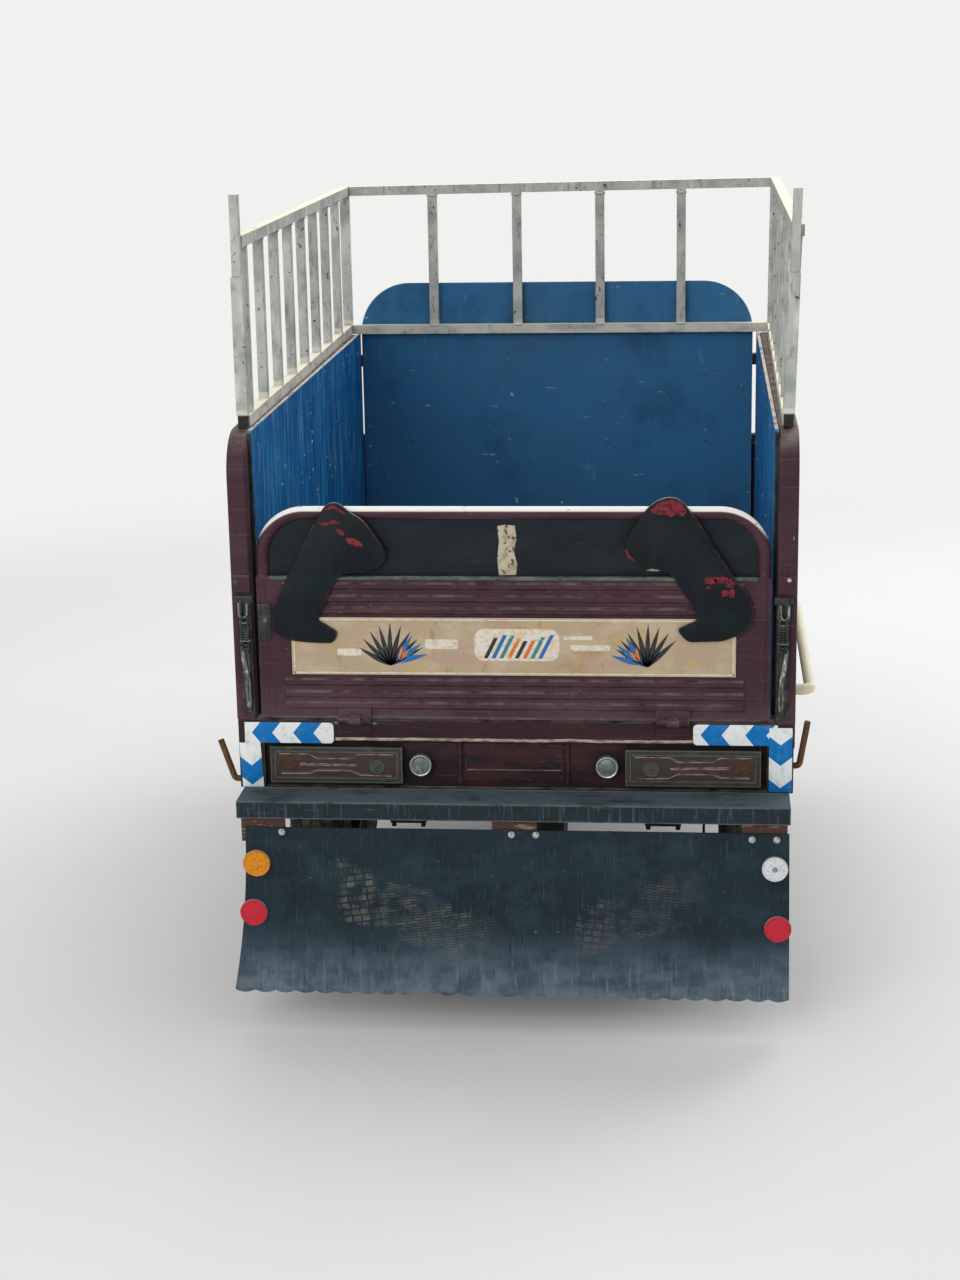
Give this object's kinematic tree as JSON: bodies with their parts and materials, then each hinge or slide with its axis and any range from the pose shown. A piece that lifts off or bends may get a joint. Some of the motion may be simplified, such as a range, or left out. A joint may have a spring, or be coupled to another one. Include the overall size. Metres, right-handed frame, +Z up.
{
  "type": "motorised cargo tricycle",
  "caption": "Three-wheeled motor cargo trike with a boarded box bed, folding tailgate, stake cage, step bumper and wide rubber mudflap.",
  "frame": {"origin": "on the floor under the middle of the overall length and width", "axes": "+X to the vehicle's right, +Y forward, +Z up"},
  "size_m": [1.3357, 3.282, 1.838],
  "materials": {
    "chassis_paint": "satin black, dusty",
    "floor_paint": "maroon worn to bare steel",
    "maroon_paint": "dark maroon, worn edges",
    "blue_paint": "blue, scratched",
    "white_paint": "white, weathered and chipped",
    "black_paint": "black",
    "cream_paint": "cream, stained",
    "bumper_paint": "dark grey, dusty",
    "lamp_frame_plastic": "grey, dusty",
    "lamp_lens": "faded red",
    "round_lens": "grey, clouded",
    "flap_rubber": "dusty black rubber",
    "reflector_plastic": "amber, red and white",
    "latch_steel": "dark, greasy",
    "rusty_steel": "rusty",
    "spring_steel": "dark, dusty",
    "axle_iron": "dark, dusty",
    "engine_alloy": "cast, oily",
    "exhaust_steel": "heat-stained",
    "seat_vinyl": "black vinyl",
    "fork_steel": "gloss black",
    "grip_rubber": "black",
    "mirror_plastic": "black",
    "tyre_rubber": "dusty black",
    "rim_paint": "silver paint, dusty"
  },
  "bodies": {
    "chassis": {"chassis_rails": "chassis_paint", "front_frame": "chassis_paint", "footboards": "chassis_paint", "bed_floor": "floor_paint", "side_frame_left": "maroon_paint", "side_frame_right": "maroon_paint", "side_board_left": "blue_paint", "side_board_right": "blue_paint", "front_wall": "maroon_paint", "headboard": "blue_paint", "cage_left": "white_paint", "cage_right": "white_paint", "cage_front": "white_paint", "cage_rear_posts": "white_paint", "lamp_panel": "maroon_paint", "tail_lamp_frames": "lamp_frame_plastic", "tail_lamp_lenses": "lamp_lens", "round_lamps": "round_lens", "bumper": "bumper_paint", "mudflap": "flap_rubber", "flap_reflectors": "reflector_plastic", "gate_latches": "latch_steel", "side_bar": "cream_paint", "rope_hooks": "rusty_steel", "hinge_brackets": "latch_steel", "leaf_springs": "spring_steel", "rear_axle": "axle_iron", "propshaft": "spring_steel", "engine": "engine_alloy", "exhaust": "exhaust_steel", "fuel_tank": "maroon_paint", "seat_box": "chassis_paint", "seat_cushion": "seat_vinyl"},
    "tailgate": {"tailgate_panel": "maroon_paint", "tailgate_inset": "black_paint", "sign_board": "cream_paint", "horse_heads": "black_paint"},
    "steering": {"front_fork": "fork_steel", "front_axle": "spring_steel", "front_fender": "maroon_paint", "handlebar": "fork_steel", "hand_grips": "grip_rubber", "headlamp": "black_paint", "mirrors": "mirror_plastic"},
    "front_wheel": {"front_tyre": "tyre_rubber", "front_rim": "rim_paint"},
    "rear_wheel_left": {"rear_tyre_left": "tyre_rubber", "rear_rim_left": "rim_paint"},
    "rear_wheel_right": {"rear_tyre_right": "tyre_rubber", "rear_rim_right": "rim_paint"}
  },
  "joints": [
    {"name": "tailgate_hinge", "type": "hinge", "parent": "chassis", "child": "tailgate", "pos_m": [0, -1.5405, 0.697], "axis": [1, 0, 0], "range_deg": [0, 140]},
    {"name": "steering_head", "type": "hinge", "parent": "chassis", "child": "steering", "pos_m": [0, 1.02038, 0.8994], "axis": [0, -0.4226, 0.9063], "range_deg": [-38, 38]},
    {"name": "front_wheel_spin", "type": "hinge", "parent": "steering", "child": "front_wheel", "pos_m": [0, 1.357, 0.284], "axis": [1, 0, 0], "continuous": true},
    {"name": "rear_wheel_left_spin", "type": "hinge", "parent": "chassis", "child": "rear_wheel_left", "pos_m": [-0.525, -0.843, 0.284], "axis": [1, 0, 0], "continuous": true},
    {"name": "rear_wheel_right_spin", "type": "hinge", "parent": "chassis", "child": "rear_wheel_right", "pos_m": [0.525, -0.843, 0.284], "axis": [1, 0, 0], "continuous": true}
  ]
}
